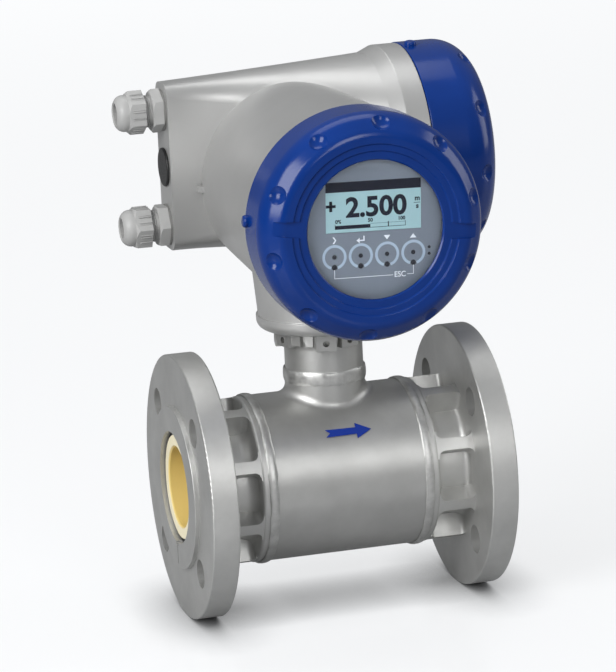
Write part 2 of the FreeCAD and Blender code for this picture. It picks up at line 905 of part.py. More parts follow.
def display_board():
    """Round board behind the screen."""
    return rod(panel_r - tray_wall - fit_gap, board_back, screen_back, FRONT, display_axis)


def display_tray():
    """Cup that holds the display, screwed to the pillars, with a ledge for its board."""
    inner = panel_r - tray_wall
    cup = turned([
        (0, tray_back), (panel_r, tray_back, edge_break), (panel_r, panel_back),
        (inner, panel_back), (inner, board_back), (inner - tray_ledge, board_back),
        (inner - tray_ledge, tray_back + tray_floor), (0, tray_back + tray_floor),
    ], FRONT, display_axis)
    holes = [rod(screw_head_r / 2 + fit_gap, -overlap, tray_floor + overlap, FRONT, at)
             for at in pillar_places(tray_back)]
    return without(cup, holes)


def tray_screws():
    """One screw for each pillar, seated on the tray's floor."""
    screws = []
    for at in pillar_places(tray_back):
        screws.append(turned([
            (0, 0), (screw_head_r / 2, 0), (screw_head_r / 2, tray_floor),
            (screw_head_r, tray_floor), (screw_head_r, tray_floor + screw_head, screw_edge),
            (0, tray_floor + screw_head),
        ], FRONT, at))
    return Part.makeCompound(screws)


def electronics_frame():
    """Back plate and four pillars inside the electronics chamber."""
    plate_front = -partition_front + frame_plate
    plate = rod(frame_plate_r, -partition_front, plate_front, FRONT,
                display_axis + Z * frame_plate_lift)
    pillars = [rod(pillar_r, -partition_front, tray_back, FRONT, at)
               for at in pillar_places(0)]
    return joined([plate] + pillars)


def circuit_board(y, parts):
    """Board on the pillars, with its larger components standing on the front.

    A component is its place across and up, its width, height and depth, as shares of the
    board's half width.
    """
    board = block((-board_half_width, board_half_width), (y - board_thickness, y),
                  (display_z - board_half_height, display_z + board_half_height))
    pieces = [board]
    for part in parts:
        x, z, width, height, depth = [board_half_width * share for share in part]
        pieces.append(block((x - width / 2, x + width / 2),
                            (y - board_thickness - depth, y - board_thickness),
                            (display_z + z - height / 2, display_z + z + height / 2)))
    holes = [rod(pillar_r + fit_gap, -bezel_face, bezel_face, FRONT, at)
             for at in pillar_places(0)]
    return without(joined(pieces), holes)


def main_board():
    """Processor board."""
    return circuit_board(main_board_y, [
        (0, 0.22, 0.5, 0.5, 0.08), (-0.44, -0.33, 0.28, 0.28, 0.06),
        (0.44, -0.33, 0.28, 0.39, 0.06), (0, -0.66, 0.8, 0.17, 0.22)])


def power_board():
    """Power and coil driver board, with its transformer and capacitors."""
    return circuit_board(power_board_y, [
        (-0.22, 0.22, 0.72, 0.66, 0.55), (0.47, 0.39, 0.33, 0.33, 0.44),
        (0.47, -0.06, 0.33, 0.33, 0.44), (0, -0.6, 0.94, 0.22, 0.25)])


# ---------------------------------------------------------------- terminals

def terminal_spots():
    """Heights of the terminal screws on the block."""
    pitch = terminal_block_height / terminal_count
    return [pitch * (k + 0.5) - terminal_block_height / 2 for k in range(terminal_count)]


def terminal_block_y():
    """Range of the terminal block in front of the cable room."""
    back = partition_back - terminal_setoff
    return (back - terminal_block_width, back)


def terminal_block():
    """Stepped terminal strip with a screw well and a wire mouth for each terminal."""
    y0, y1 = terminal_block_y()
    half = terminal_block_height / 2
    low = terminal_floor + terminal_block_depth * terminal_low_share
    top = terminal_floor + terminal_block_depth
    step = y0 + terminal_step
    profile = face([
        (terminal_floor, y0), (top, y0, edge_break), (top, step, edge_break),
        (low, step + terminal_step_slope), (low, y1, edge_break), (terminal_floor, y1),
    ], Z * (terminal_z - half), X, Y)
    strip = solid_of(profile.extrude(Z * (2 * half)))
    mouth_back = y1 - wire_mouth_edge
    cuts = []
    for rise in terminal_spots():
        z = terminal_z + rise
        at = FreeCAD.Vector(0, y0 + terminal_step / 2, z)
        cuts.append(rod(terminal_screw_r + fit_gap, top - terminal_well, top + overlap, X, at))
        cuts.append(block((low - wire_mouth_depth, low + overlap),
                          (mouth_back - wire_mouth_width, mouth_back),
                          (z - wire_mouth_height / 2, z + wire_mouth_height / 2)))
    return without(strip, cuts)


def terminal_screws():
    """Slotted clamping screws in the terminal strip."""
    y0 = terminal_block_y()[0]
    top = terminal_floor + terminal_block_depth
    screws = []
    for rise in terminal_spots():
        z = terminal_z + rise
        at = FreeCAD.Vector(0, y0 + terminal_step / 2, z)
        crown = top - terminal_well + terminal_head
        head = rod(terminal_screw_r, top - terminal_well, crown, X, at)
        slot = block((crown - terminal_slot_depth, top), (y0, y0 + terminal_step),
                     (z - terminal_slot / 2, z + terminal_slot / 2))
        screws.append(without(head, [slot]))
    return Part.makeCompound(screws)


# ---------------------------------------------------------------- cable entries

def gland_washer(at):
    """Flat seal under the gland's hexagon."""
    return ring(entry_r + fit_gap, washer_r, 0, washer_thickness, OUT, at)


def gland_body(at, turn):
    """Gland body: a spigot in the housing, a hexagon and a threaded collar with the seal's seat."""
    hex_end = washer_thickness + gland_hex
    end = hex_end + gland_thread
    spigot = entry_r - fit_gap
    corner = gland_flats / 2 * gland_corner_share
    core = turned([
        (0, -entry_spigot), (spigot, -entry_spigot, cover_edge), (spigot, hex_end - edge_break),
        (gland_thread_r, hex_end), (gland_thread_r, end, lug_edge), (0, end),
    ], OUT, at)
    nut = hexagon(gland_flats, washer_thickness, hex_end, OUT, at, turn)
    bevel = turned([
        (0, 0), (corner, 0), (corner, hex_end - gland_bevel), (gland_flats / 2, hex_end),
        (0, hex_end),
    ], OUT, at)
    bore = rod(gland_bore_r, -entry_spigot - overlap, end + overlap, OUT, at)
    seat = rod(gland_seal_r + thread_gap, seal_start - thread_gap, end + overlap, OUT, at)
    return without(joined([core, solid_of(nut.common(bevel))]), [bore, seat])


def gland_insert(at):
    """Rubber clamping insert, a tube with a tapered outer end."""
    end = seal_start + gland_seal
    return turned([
        (gland_seal_bore_r, seal_start), (gland_seal_r, seal_start),
        (gland_seal_r, end - edge_break), (gland_seal_r - edge_break, end),
        (gland_seal_bore_r, end),
    ], OUT, at)


def gland_nut_piece(at, turn):
    """Domed clamping nut over the collar and the insert."""
    end = nut_start + gland_nut
    flange_end = nut_start + gland_nut_flange
    inner_end = seal_start + gland_seal + thread_gap
    outer = gland_flats / 2
    corner = outer * gland_corner_share
    neck = outer - edge_break / 2
    dome = turned([
        (0, nut_start), (corner, nut_start), (corner, flange_end - edge_break),
        (outer, flange_end + edge_break), (neck, flange_end + edge_break),
        (neck, end, gland_nut_round), (0, end),
    ], OUT, at)
    prism = hexagon(gland_flats, nut_start, end, OUT, at, turn)
    thread = gland_thread_r + thread_gap
    lip = gland_mouth_r + edge_break
    hollow = turned([
        (0, nut_start - overlap), (thread, nut_start - overlap), (thread, inner_end),
        (gland_mouth_r, inner_end + gland_mouth_cone), (gland_mouth_r, end - edge_break),
        (lip, end), (lip, end + overlap), (0, end + overlap),
    ], OUT, at)
    return without(solid_of(dome.common(prism)), [hollow])


def blanking_plug():
    """Low round plug in the unused cable entry."""
    at = entry_place(plug_rise)
    start = washer_thickness / 3
    head_end = start + plug_head
    spigot = entry_r - fit_gap
    return turned([
        (0, -entry_spigot), (spigot, -entry_spigot, cover_edge), (spigot, start),
        (plug_r, start), (plug_r, head_end, plug_head * plug_round_share), (0, head_end),
    ], OUT, at)


def plug_gasket():
    """Thin seal under the plug's head."""
    return ring(entry_r + fit_gap, plug_r - plug_gasket_inset, 0, washer_thickness / 3, OUT,
                entry_place(plug_rise))


# ---------------------------------------------------------------- export

def mirrored_down(shape):
    """The same piece under the tube instead of over it."""
    shape.rotate(ORIGIN, X, 180)
    return shape


def turned_about(shape):
    """The same piece at the other end or on the other side of the tube."""
    shape.rotate(ORIGIN, Z, 180)
    return shape


nodes = {
    "inlet_flange": inlet_flange(),
    "outlet_flange": flange(),
    "measuring_tube": measuring_tube(),
    "inlet_tube_seal": turned_about(tube_seal()),
    "outlet_tube_seal": tube_seal(),
    "sensor_housing": sensor_housing(),
    "upper_pole_shoe": pole_shoe(),
    "lower_pole_shoe": mirrored_down(pole_shoe()),
    "upper_coil": coil(),
    "lower_coil": mirrored_down(coil()),
    "coil_yoke": coil_yoke(),
    "electrode_back": electrode(),
    "electrode_front": turned_about(electrode()),
    "sensor_leads": sensor_leads(),
    "neck_tube": neck_tube(),
    "neck_gasket": neck_gasket_ring(),
    "converter_housing": converter_housing(),
    "front_cover": front_cover(),
    "front_cover_seal": cover_seal(front_cover_back, FRONT, display_axis),
    "window_glass": window_glass_disc(),
    "window_gasket": window_gasket(),
    "window_retainer": window_retainer(),
    "display_panel": display_panel(),
    "lcd_module": lcd_module(),
    "key_lenses": Part.makeCompound(lens_pins(0, panel_front)),
    "status_lights": Part.makeCompound(light_pins(0, panel_front)),
    "display_board": display_board(),
    "display_tray": display_tray(),
    "tray_screws": tray_screws(),
    "electronics_frame": electronics_frame(),
    "main_board": main_board(),
    "power_board": power_board(),
    "terminal_cover": terminal_cover(),
    "terminal_cover_seal": cover_seal(terminal_cover_back, X, terminal_axis),
    "terminal_block": terminal_block(),
    "terminal_screws": terminal_screws(),
    "blanking_plug": blanking_plug(),
    "plug_gasket": plug_gasket(),
}
for name, rise, turn in (("upper", upper_entry_rise, 90), ("lower", lower_entry_rise, 0)):
    place = entry_place(rise)
    nodes[name + "_gland_washer"] = gland_washer(place)
    nodes[name + "_gland_body"] = gland_body(place, turn)
    nodes[name + "_gland_seal"] = gland_insert(place)
    nodes[name + "_gland_nut"] = gland_nut_piece(place, turn)

os.makedirs("parts", exist_ok=True)
for name, shape in nodes.items():
    shape.exportStep("parts/" + name + ".step")
    print(name, len(shape.Solids), shape.isValid(), round(shape.Volume))
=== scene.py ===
import math

import bpy
from mathutils import Matrix, Vector


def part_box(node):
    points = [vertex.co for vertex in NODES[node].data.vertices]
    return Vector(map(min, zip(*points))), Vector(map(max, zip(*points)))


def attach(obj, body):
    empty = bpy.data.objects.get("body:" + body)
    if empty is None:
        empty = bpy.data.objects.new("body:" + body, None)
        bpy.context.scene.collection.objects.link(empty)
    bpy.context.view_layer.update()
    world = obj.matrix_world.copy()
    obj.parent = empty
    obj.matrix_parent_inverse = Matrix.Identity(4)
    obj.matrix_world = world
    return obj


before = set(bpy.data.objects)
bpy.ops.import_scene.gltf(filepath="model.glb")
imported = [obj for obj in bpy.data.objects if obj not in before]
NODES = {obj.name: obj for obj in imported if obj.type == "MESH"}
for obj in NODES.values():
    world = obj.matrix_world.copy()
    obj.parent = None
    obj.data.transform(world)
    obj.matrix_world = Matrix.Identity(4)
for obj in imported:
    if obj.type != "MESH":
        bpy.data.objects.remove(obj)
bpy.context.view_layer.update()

bl_info = {
    "name": "Flow Meter Dressing",
    "version": (1, 0, 0),
    "blender": (4, 5, 0),
    "location": "View3D > Sidebar > Flow Meter",
    "description": "Finishes, printing, welds and stage for a flanged electromagnetic flow meter",
    "category": "Object",
}

MM = 0.001


def srgb(red, green, blue):
    """Linear colour of an 8-bit screen colour."""
    channels = []
    for value in (red, green, blue):
        level = value / 255
        channels.append(level / 12.92 if level <= 0.04045 else ((level + 0.055) / 1.055) ** 2.4)
    return tuple(channels)


# ---------------------------------------------------------------- places read from the frame

PANEL_LOW, PANEL_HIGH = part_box("display_panel")
PANEL_CENTRE = (PANEL_LOW + PANEL_HIGH) / 2
PANEL_FRONT = PANEL_LOW.y
SCREEN_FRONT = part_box("lcd_module")[0].y
HOUSING_LOW, HOUSING_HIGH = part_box("sensor_housing")
HOUSING_RADIUS = -HOUSING_LOW.z
HOUSING_END = HOUSING_HIGH.x
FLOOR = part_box("inlet_flange")[0].z


# ---------------------------------------------------------------- settings

def length_setting(name, description, size):
    """A length, given in millimetres."""
    return bpy.props.FloatProperty(name=name, description=description, unit="LENGTH",
                                   default=size * MM)


def angle_setting(name, description, size):
    """An angle, given in degrees."""
    return bpy.props.FloatProperty(name=name, description=description, subtype="ANGLE",
                                   default=math.radians(size))


def count_setting(name, description, count):
    """A whole number."""
    return bpy.props.IntProperty(name=name, description=description, default=count)


def colour_setting(name, description, *colour):
    """A colour, given as an 8-bit screen colour."""
    return bpy.props.FloatVectorProperty(name=name, description=description, subtype="COLOR",
                                         size=3, min=0, max=1, default=srgb(*colour))


class FinishSettings(bpy.types.PropertyGroup):
    """Colours of the object's finishes."""

    steel: colour_setting(
        "Blasted steel", "Colour of the blasted flanges and sensor body", 200, 200, 198)
    paint: colour_setting("Housing paint", "Powder coat of the converter housing", 184, 184, 183)
    blue: colour_setting("Cover paint", "Gloss paint of the two covers", 6, 48, 122)
    ceramic: colour_setting("Ceramic", "End face of the measuring tube", 250, 240, 206)
    bore: colour_setting("Bore", "Ground wall of the measuring tube", 226, 200, 122)
    plastic: colour_setting("Gland plastic", "Plastic of the cable glands", 168, 168, 167)
    panel: colour_setting("Display panel", "Plate behind the window", 118, 127, 141)


class DisplaySettings(bpy.types.PropertyGroup):
    """Sizes of what the display shows, measured on its panel."""

    tilt: angle_setting("Tilt", "Clockwise turn of the display seen from the front", 2)
    reading: bpy.props.StringProperty(
        name="Reading", description="Number on the screen", default="2.500")
    reading_size: length_setting("Reading size", "Size of the reading's type", 16.2)
    reading_weight: length_setting("Reading weight", "Thickening of the reading's type", 0.5)
    reading_side: length_setting(
        "Reading offset", "Middle of the reading to the right of the axis", 2.2)
    reading_rise: length_setting("Reading rise", "Middle of the reading above the axis", 13.2)
    screen_width: length_setting("Screen width", "Width of the screen", 58.3)
    screen_height: length_setting("Screen height", "Height of the screen", 30)
    screen_side: length_setting(
        "Screen offset", "Screen centre to the right of the axis", 0.45)
    screen_rise: length_setting("Screen rise", "Screen centre above the axis", 13.5)
    header: length_setting("Header", "Height of the dark band along the screen's top", 6)
    unit_side: length_setting("Unit offset", "Middle of the unit to the right of the axis", 27.4)
    unit_size: length_setting("Unit size", "Size of the unit's type", 4.2)
    scale_start: length_setting("Scale start", "Left end of the scale, from the axis", -23.2)
    scale_end: length_setting("Scale end", "Right end of the scale, from the axis", 20.1)
    scale_low: length_setting("Scale foot", "Foot of the scale above the axis", 0.5)
    scale_high: length_setting("Scale top", "Top of the scale's ticks above the axis", 3.6)
    scale_type: length_setting("Scale type", "Size of the scale's numbers", 3)
    scale_type_rise: length_setting(
        "Scale type rise", "Middle of the scale's numbers above the axis", 5.1)
    key_pitch: length_setting("Key pitch", "Distance between two keys", 16.13)
    key_side: length_setting(
        "Key offset", "Middle of the key row to the right of the axis", 0.4)
    key_rise: length_setting("Key rise", "Key centres above the axis", -15.8)
    key_radius: length_setting("Key ring", "Outer radius of the printed ring", 7.4)
    key_line: length_setting("Key line", "Width of the printed ring", 1.6)
    key_gap: angle_setting("Key gap", "Opening at the foot of the printed ring", 36)
    mark_rise: length_setting("Mark rise", "Middle of the keys' marks above the axis", -5.8)
    mark_size: length_setting("Mark size", "Half the height of a key's mark", 2)
    mark_stroke: length_setting("Mark stroke", "Width of a mark's lines", 0.75)
    bracket_rise: length_setting("Bracket rise", "Foot of the bracket above the axis", -28.4)
    bracket_drop: length_setting("Bracket drop", "Top of the bracket under the keys", 7.6)
    bracket_line: length_setting("Bracket line", "Width of the bracket's line", 0.35)
    label_side: length_setting(
        "Label offset", "Middle of the bracket's label to the right of the axis", 16.4)
    label_room: length_setting("Label room", "Half the bracket's opening at its label", 4.4)
    label_size: length_setting("Label size", "Size of the label's type", 4.6)


class SensorSettings(bpy.types.PropertyGroup):
    """Sizes of the printing and the welds on the sensor."""

    arrow_start: length_setting("Arrow start", "Tail of the flow arrow along the pipe", -12.7)
    arrow_end: length_setting("Arrow end", "Tip of the flow arrow along the pipe", 16.6)
    arrow_head: length_setting(
        "Arrow head", "Start of the arrow's head along the pipe", 6.9)
    arrow_height: length_setting("Arrow height", "Height of the arrow's head", 10.6)
    arrow_angle: angle_setting(
        "Arrow angle", "Middle of the arrow above the front of the tube", 39.5)
    bead_width: length_setting("Weld width", "Width of the welds round the housing", 5.5)
    bead_height: length_setting(
        "Weld height", "Height of the welds over the housing", 0.75)
    ripples: count_setting("Ripples", "Scales of weld metal round the housing", 190)
    neck_weld_radius: length_setting("Neck weld radius", "Radius of the neck's weld", 25.2)
    neck_weld_width: length_setting("Neck weld width", "Width of the neck's weld", 8)
    neck_weld_height: length_setting(
        "Neck weld height", "Height of the weld over the neck", 0.7)
    neck_ripples: count_setting("Neck ripples", "Scales of weld metal round the neck", 90)


class ThreadSettings(bpy.types.PropertyGroup):
    """Sizes of the screw threads and of the grip ribs on the gland nuts."""

    spigot_radius: length_setting("Spigot radius", "Root of the covers' threads", 64.02)
    spigot_relief: length_setting("Spigot relief", "Height of the covers' threads", 0.2)
    spigot_pitch: length_setting("Spigot pitch", "Pitch of the covers' threads", 2)
    spigot_turns: count_setting("Spigot turns", "Turns of the covers' threads", 3)
    spigot_start: length_setting(
        "Spigot start", "Start of the thread beyond the seal", 1.6)
    collar_radius: length_setting("Collar radius", "Root of the glands' threads", 9.42)
    collar_relief: length_setting("Collar relief", "Height of the glands' threads", 0.7)
    collar_pitch: length_setting("Collar pitch", "Pitch of the glands' threads", 1.5)
    collar_turns: count_setting(
        "Collar turns", "Turns of thread that show on the collar", 2)
    collar_length: length_setting("Collar length", "Length of collar that shows", 4.5)
    nut_flat: length_setting("Nut flat", "Distance of the nut's flats from its axis", 12)
    rib_start: length_setting("Rib start", "Distance of the ribs from the nut's edge", 0.4)
    rib_length: length_setting("Rib length", "Length of a grip rib", 8)
    rib_width: length_setting("Rib width", "Width of a grip rib", 0.55)
    rib_pitch: length_setting("Rib pitch", "Distance between two grip ribs", 1.35)
    rib_relief: length_setting("Rib relief", "Height of a grip rib over the flat", 0.22)
    rib_count: count_setting("Rib count", "Grip ribs on each flat", 8)


class StageSettings(bpy.types.PropertyGroup):
    """Camera and lights."""

    azimuth: angle_setting("Azimuth", "Camera angle round the object", -15.547)
    elevation: angle_setting("Elevation", "Camera angle above the horizon", 12.848)
    roll: angle_setting("Roll", "Turn of the camera about its own axis", -2.770)
    distance: length_setting("Distance", "Camera to the aimed point", 2425.17)
    aim: bpy.props.FloatVectorProperty(
        name="Aim", description="Point in the middle of the view", subtype="XYZ", size=3,
        default=(11.878 * MM, 76.836 * MM, 68.199 * MM))
    lens: bpy.props.FloatProperty(
        name="Lens", description="Focal length in millimetres", default=202.49)
    floor_size: length_setting("Floor size", "Length of the floor's sides", 14000)
    floor_back: length_setting("Floor back", "Middle of the floor behind the object", 4000)


# ---------------------------------------------------------------- modelling helpers

def deselect():
    """Nothing selected, object mode."""
    if bpy.context.object and bpy.context.object.mode != "OBJECT":
        bpy.ops.object.mode_set(mode="OBJECT")
    bpy.ops.object.select_all(action="DESELECT")


def settle(piece, matrix=None):
    """Moves a piece by a matrix and applies its place, so that its object sits at the origin."""
    if matrix is not None:
        piece.matrix_world = matrix @ piece.matrix_world
    deselect()
    piece.select_set(True)
    bpy.context.view_layer.objects.active = piece
    bpy.ops.object.transform_apply(location=True, rotation=True, scale=True)
    return piece


def name_piece(name):
    """Names the piece just added, and its mesh."""
    piece = bpy.context.object
    piece.name = name
    piece.data.name = name
    return piece


def modifier(piece, name, kind, **values):
    """Adds one modifier and applies it."""
    added = piece.modifiers.new(name, kind)
    for key, value in values.items():
        setattr(added, key, value)
    deselect()
    piece.select_set(True)
    bpy.context.view_layer.objects.active = piece
    bpy.ops.object.modifier_apply(modifier=added.name)
    return piece


def outline_piece(name, points, thickness):
    """Flat piece from an outline in its own XY plane, with its front at +thickness."""
    deselect()
    bpy.ops.mesh.primitive_circle_add(vertices=len(points), radius=MM, fill_type="NGON")
    piece = name_piece(name)
    for vertex, (x, y) in zip(piece.data.vertices, points):
        vertex.co = (x, y, 0)
    bpy.ops.object.mode_set(mode="EDIT")
    bpy.ops.mesh.select_all(action="SELECT")
    bpy.ops.mesh.extrude_region_move(TRANSFORM_OT_translate={"value": (0, 0, thickness)})
    bpy.ops.mesh.select_all(action="SELECT")
    bpy.ops.mesh.normals_make_consistent(inside=False)
    bpy.ops.object.mode_set(mode="OBJECT")
    return piece


def bar(name, x0, x1, y0, y1, thickness):
    """Rectangle between two corners."""
    return outline_piece(name, [(x0, y0), (x1, y0), (x1, y1), (x0, y1)], thickness)


def open_ring(name, outer, width, centre, gap, thickness):
    """Printed ring with a gap at its foot."""
    steps = 64
    start = -math.pi / 2 + gap / 2
    sweep = 2 * math.pi - gap
    angles = [start + sweep * k / steps for k in range(steps + 1)]
    spots = [(outer, angle) for angle in angles]
    spots += [(outer - width, angle) for angle in reversed(angles)]
    return outline_piece(name, [(centre[0] + reach * math.cos(angle),
                                 centre[1] + reach * math.sin(angle))
                                for reach, angle in spots], thickness)


def lettering(name, text, size, centre, thickness, bold=0.0, stretch=1.0):
    """Raised lettering centred on a point of its own XY plane."""
    deselect()
    bpy.ops.object.text_add(location=(0, 0, 0))
    piece = bpy.context.object
    piece.name = name
    piece.data.body = text
    piece.data.size = size
    piece.data.offset = bold
    piece.data.extrude = thickness / 2
    piece.data.resolution_u = 4
    bpy.ops.object.convert(target="MESH")
    piece = bpy.context.object
    corners = [Vector(c) for c in piece.bound_box]
    low = Vector([min(c[i] for c in corners) for i in range(3)])
    high = Vector([max(c[i] for c in corners) for i in range(3)])
    middle = (low + high) / 2
    lift = Matrix.Translation((centre[0], centre[1], thickness / 2))
    return settle(piece, lift @ Matrix.Diagonal((stretch, 1, 1, 1)) @ Matrix.Translation(-middle))


def merged(name, pieces):
    """One piece out of several."""
    deselect()
    for piece in pieces:
        piece.select_set(True)
    bpy.context.view_layer.objects.active = pieces[0]
    if len(pieces) > 1:
        bpy.ops.object.join()
    return name_piece(name)


def finish_piece(piece, material, body, smooth=None):
    """Gives a piece its material and shading and makes it ride on a body."""
    piece.data.materials.clear()
    piece.data.materials.append(material)
    if smooth is not None:
        deselect()
        piece.select_set(True)
        bpy.context.view_layer.objects.active = piece
        bpy.ops.object.shade_smooth_by_angle(angle=math.radians(smooth))
    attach(piece, body)
    return piece


# ---------------------------------------------------------------- material helpers

class Finish:
    """A material being built: its nodes, its links and its main shader."""

    def __init__(self, name, **sockets):
        self.material = bpy.data.materials.new(name)
        self.material.use_nodes = True
        self.tree = self.material.node_tree
        self.shader = self.tree.nodes["Principled BSDF"]
        for key, value in sockets.items():
            self.shader.inputs[key.replace("_", " ")].default_value = value
        self.place = self.tree.nodes.new("ShaderNodeTexCoord").outputs["Object"]

    def add(self, kind, inputs=None, **values):
        """Adds a node with its settings and inputs. An input is a value or another output."""
        node = self.tree.nodes.new(kind)
        for key, value in values.items():
            setattr(node, key, value)
        for key, value in (inputs or {}).items():
            if isinstance(value, bpy.types.NodeSocket):
                self.tree.links.new(value, node.inputs[key])
            else:
                node.inputs[key].default_value = value
        return node

    def noise(self, scale, detail=3.0, roughness=0.5):
        """Noise in the object's space. The scale is in features per metre."""
        return self.add("ShaderNodeTexNoise", {
            "Vector": self.place, "Scale": scale, "Detail": detail,
            "Roughness": roughness}).outputs["Fac"]

    def span(self, source, low, high, start=0.3, end=0.7):
        """Maps a source from start..end to low..high."""
        return self.add("ShaderNodeMapRange", {
            "Value": source, "From Min": start, "From Max": end, "To Min": low,
            "To Max": high}).outputs["Result"]

    def math(self, operation, first, second=0.0):
        """One arithmetic step."""
        return self.add("ShaderNodeMath", {0: first, 1: second},
                        operation=operation).outputs[0]

    def mix(self, share, first, second):
        """Blend of two colours."""
        node = self.tree.nodes.new("ShaderNodeMix")
        node.data_type = "RGBA"
        for index, value in ((0, share), (6, first), (7, second)):
            if isinstance(value, bpy.types.NodeSocket):
                self.tree.links.new(value, node.inputs[index])
            elif index == 0:
                node.inputs[index].default_value = value
            else:
                node.inputs[index].default_value = (*value[:3], 1)
        return node.outputs[2]

    def feed(self, socket, source):
        """Connects a source to one of the shader's sockets."""
        self.tree.links.new(source, self.shader.inputs[socket])

    def mottled(self, source, colour, darkest, palest):
        """Colour that a noise takes from its darkest to its palest shade."""
        return self.mix(self.span(source, 0, 1), shade(colour, darkest), shade(colour, palest))

    def bump(self, height, distance, strength, under=None):
        """Adds a relief, over another one if given, and connects it."""
        inputs = {"Height": height, "Distance": distance, "Strength": strength}
        if under is not None:
            inputs["Normal"] = under
        normal = self.add("ShaderNodeBump", inputs).outputs["Normal"]
        self.feed("Normal", normal)
        return normal

    def axes(self):
        """The three coordinates of the object's space."""
        return self.add("ShaderNodeSeparateXYZ", {"Vector": self.place}).outputs


def shade(colour, factor):
    """A colour made lighter or darker."""
    return tuple(min(1.0, c * factor) for c in colour)


# ---------------------------------------------------------------- finishes

def blasted_steel(name, colour, roughness=0.47):
    """Glass bead blasted stainless steel: a fine dull grain with faint clouds."""
    steel = Finish(name, Metallic=0.9)
    clouds = steel.noise(scale=28, detail=4, roughness=0.6)
    steel.feed("Base Color", steel.mottled(clouds, colour, darkest=0.9, palest=1.08))
    grain = steel.noise(scale=2600, detail=2, roughness=0.6)
    steel.feed("Roughness", steel.span(grain, roughness - 0.06, roughness + 0.08))
    steel.bump(grain, distance=0.06 * MM, strength=0.5)
    return steel.material


def weld_metal(name, colour):
    """Weld metal: one noise gives blotches of darker and paler tone, the paler ones rougher, over
    a fine grain.
    """
    weld = Finish(name, Metallic=0.9)
    clouds = weld.noise(scale=160, detail=3, roughness=0.6)
    weld.feed("Base Color", weld.mottled(clouds, colour, darkest=0.82, palest=1.12))
    weld.feed("Roughness", weld.span(clouds, low=0.34, high=0.5))
    weld.bump(weld.noise(scale=1500, detail=2), distance=0.08 * MM, strength=0.5)
    return weld.material


def powder_coat(name, colour):
    """Matt powder coat with a fine texture over a slightly uneven casting."""
    coat = Finish(name, Roughness=0.38, Metallic=0.55)
    clouds = coat.noise(scale=18, detail=3, roughness=0.55)
    coat.feed("Base Color", coat.mottled(clouds, colour, darkest=0.95, palest=1.03))
    cast = coat.bump(coat.noise(scale=60), distance=0.2 * MM, strength=0.3)
    coat.bump(coat.noise(scale=1700, detail=2), distance=0.05 * MM, strength=0.45, under=cast)
    return coat.material


def gloss_paint(name, colour):
    """Gloss paint: deep colour under a clear, very slightly rippled surface."""
    paint = Finish(name, Roughness=0.18, Specular_IOR_Level=0.27)
    clouds = paint.noise(scale=40, detail=2)
    paint.feed("Base Color", paint.mottled(clouds, colour, darkest=0.93, palest=1.06))
    paint.bump(paint.noise(scale=420, detail=2), distance=0.03 * MM, strength=0.35)
    return paint.material


def tube_ceramic(name, colour, bore_colour):
    """Cream ceramic, darker and yellower on the ground wall of the bore."""
    wall_ends, face_starts = 25.4 * MM, 26.2 * MM
    ceramic = Finish(name, Roughness=0.38, Specular_IOR_Level=0.5)
    y, z = ceramic.axes()[1:3]
    radius = ceramic.math("SQRT", ceramic.math("ADD", ceramic.math("MULTIPLY", y, y),
                                               ceramic.math("MULTIPLY", z, z)))
    wall = ceramic.span(radius, 1, 0, wall_ends, face_starts)
    cream = ceramic.mottled(ceramic.noise(scale=900), colour, darkest=0.96, palest=1.02)
    ceramic.feed("Base Color", ceramic.mix(wall, cream, bore_colour))
    ceramic.bump(ceramic.noise(scale=1200, detail=2), distance=0.03 * MM, strength=0.3)
    return ceramic.material


def moulded(name, colour, roughness):
    """Moulded plastic or rubber with a fine surface grain."""
    plastic = Finish(name, Specular_IOR_Level=0.45)
    flow = plastic.noise(scale=70)
    plastic.feed("Base Color", plastic.mottled(flow, colour, darkest=0.95, palest=1.04))
    fine = plastic.noise(scale=900, detail=2)
    plastic.feed("Roughness", plastic.span(fine, roughness - 0.05, roughness + 0.06))
    plastic.bump(fine, distance=0.04 * MM, strength=0.5)
    return plastic.material


def bright_metal(name, colour, roughness=0.25):
    """Machined metal with faint turning marks."""
    metal = Finish(name, Metallic=1.0)
    marks = metal.noise(scale=1400, detail=2)
    metal.feed("Base Color", metal.mottled(marks, colour, darkest=0.92, palest=1.05))
    metal.feed("Roughness", metal.span(marks, roughness - 0.05, roughness + 0.1))
    metal.bump(marks, distance=0.03 * MM, strength=0.4)
    return metal.material


def laminate(name, colour):
    """Lacquered circuit board with copper tracks showing through."""
    between, track = shade(colour, 0.85), shade(colour, 1.6)
    board = Finish(name, Roughness=0.3, Specular_IOR_Level=0.5)
    tracks = board.add("ShaderNodeTexBrick", {
        "Vector": board.place, "Scale": 260.0, "Mortar Size": 0.06,
        "Color1": (*colour, 1), "Color2": (*between, 1), "Mortar": (*track, 1)})
    board.feed("Base Color", tracks.outputs["Color"])
    board.bump(tracks.outputs["Fac"], distance=0.04 * MM, strength=0.4)
    return board.material


def ink(name, colour, roughness=0.5):
    """Screen-printed ink with a slightly broken edge tone."""
    print_ink = Finish(name, Roughness=roughness, Specular_IOR_Level=0.3)
    grain = print_ink.noise(scale=2200, detail=2)
    print_ink.feed("Base Color", print_ink.mottled(grain, colour, darkest=0.95, palest=1.04))
    return print_ink.material


def screen_film(name, colour):
    """Reflective liquid crystal film: a pale ground with a fine grid of cells."""
    cell = 0.23 * MM
    grid_width, grid_share, grid_shade = 0.2, 0.10, 0.8
    film = Finish(name, Roughness=0.35, Specular_IOR_Level=0.4)
    x, _, z = film.axes()[0:3]
    column = film.math("PINGPONG", x, cell)
    row = film.math("PINGPONG", z, cell)
    line = film.span(film.math("MINIMUM", column, row), 1, 0, 0, cell * grid_width)
    ground = film.mottled(film.noise(scale=60, detail=2), colour, darkest=0.97, palest=1.02)
    film.feed("Base Color", film.mix(film.math("MULTIPLY", line, grid_share), ground,
                                     shade(colour, grid_shade)))
    return film.material


